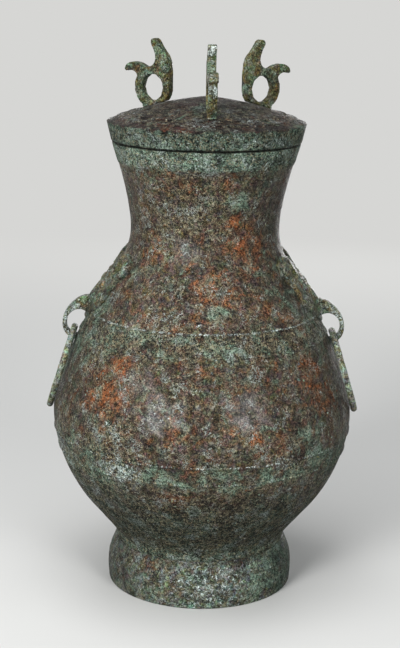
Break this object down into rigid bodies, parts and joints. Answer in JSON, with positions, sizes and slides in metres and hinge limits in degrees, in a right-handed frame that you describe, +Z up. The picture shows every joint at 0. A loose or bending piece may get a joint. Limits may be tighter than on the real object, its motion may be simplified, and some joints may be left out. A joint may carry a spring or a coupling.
{
  "type": "lidded wine jar",
  "caption": "Pear-shaped bronze wine jar on a ring foot, with a low domed lid, upright ring knobs and animal-mask lugs that hold loose rings.",
  "frame": {"origin": "centre of the foot's bearing face, on the surface that the jar stands on", "axes": "+Z up the jar's axis; the masks and rings lie on the X axis; -Y is the front"},
  "size_m": [0.2516, 0.2406, 0.437],
  "materials": {
    "jar_bronze": "corroded bronze, matt, dark brown with green, rust and chalky blue patches",
    "foot_bronze": "corroded bronze, matt, dark brown with green, rust and chalky blue patches",
    "lid_bronze": "corroded bronze, matt, dark brown with green, rust and chalky blue patches",
    "knob_bronze": "corroded bronze, matt, dark brown with green, rust and chalky blue patches",
    "mask_bronze": "corroded bronze, matt, dark brown with green, rust and chalky blue patches",
    "ring_bronze": "corroded bronze, matt, dark brown with green, rust and chalky blue patches",
    "inner_bronze": "corroded bronze, matt, dark brown with green, rust and chalky blue patches"
  },
  "bodies": {
    "jar": {"jar_body": "jar_bronze", "foot_ring": "foot_bronze", "mask_right": "mask_bronze", "mask_rivet_right_upper": "inner_bronze", "mask_rivet_right_lower": "inner_bronze", "mask_left": "mask_bronze", "mask_rivet_left_upper": "inner_bronze", "mask_rivet_left_lower": "inner_bronze"},
    "lid": {"lid": "lid_bronze", "lid_knob_front": "knob_bronze", "lid_knob_rivet_front": "inner_bronze", "lid_knob_right": "knob_bronze", "lid_knob_rivet_right": "inner_bronze", "lid_knob_left": "knob_bronze", "lid_knob_rivet_left": "inner_bronze"},
    "ring_right": {"handle_ring_right": "ring_bronze"},
    "ring_left": {"handle_ring_left": "ring_bronze"}
  },
  "joints": [
    {"name": "lid_lift", "type": "slide", "parent": "jar", "child": "lid", "axis": [0, 0, 1], "range_m": [0, 0.15]},
    {"name": "ring_right_swing", "type": "hinge", "parent": "jar", "child": "ring_right", "pos_m": [0.1034, 0, 0.2086], "axis": [0, -1, 0], "range_deg": [0, 190]},
    {"name": "ring_left_swing", "type": "hinge", "parent": "jar", "child": "ring_left", "pos_m": [-0.1034, 0, 0.2086], "axis": [0, 1, 0], "range_deg": [0, 190]}
  ]
}
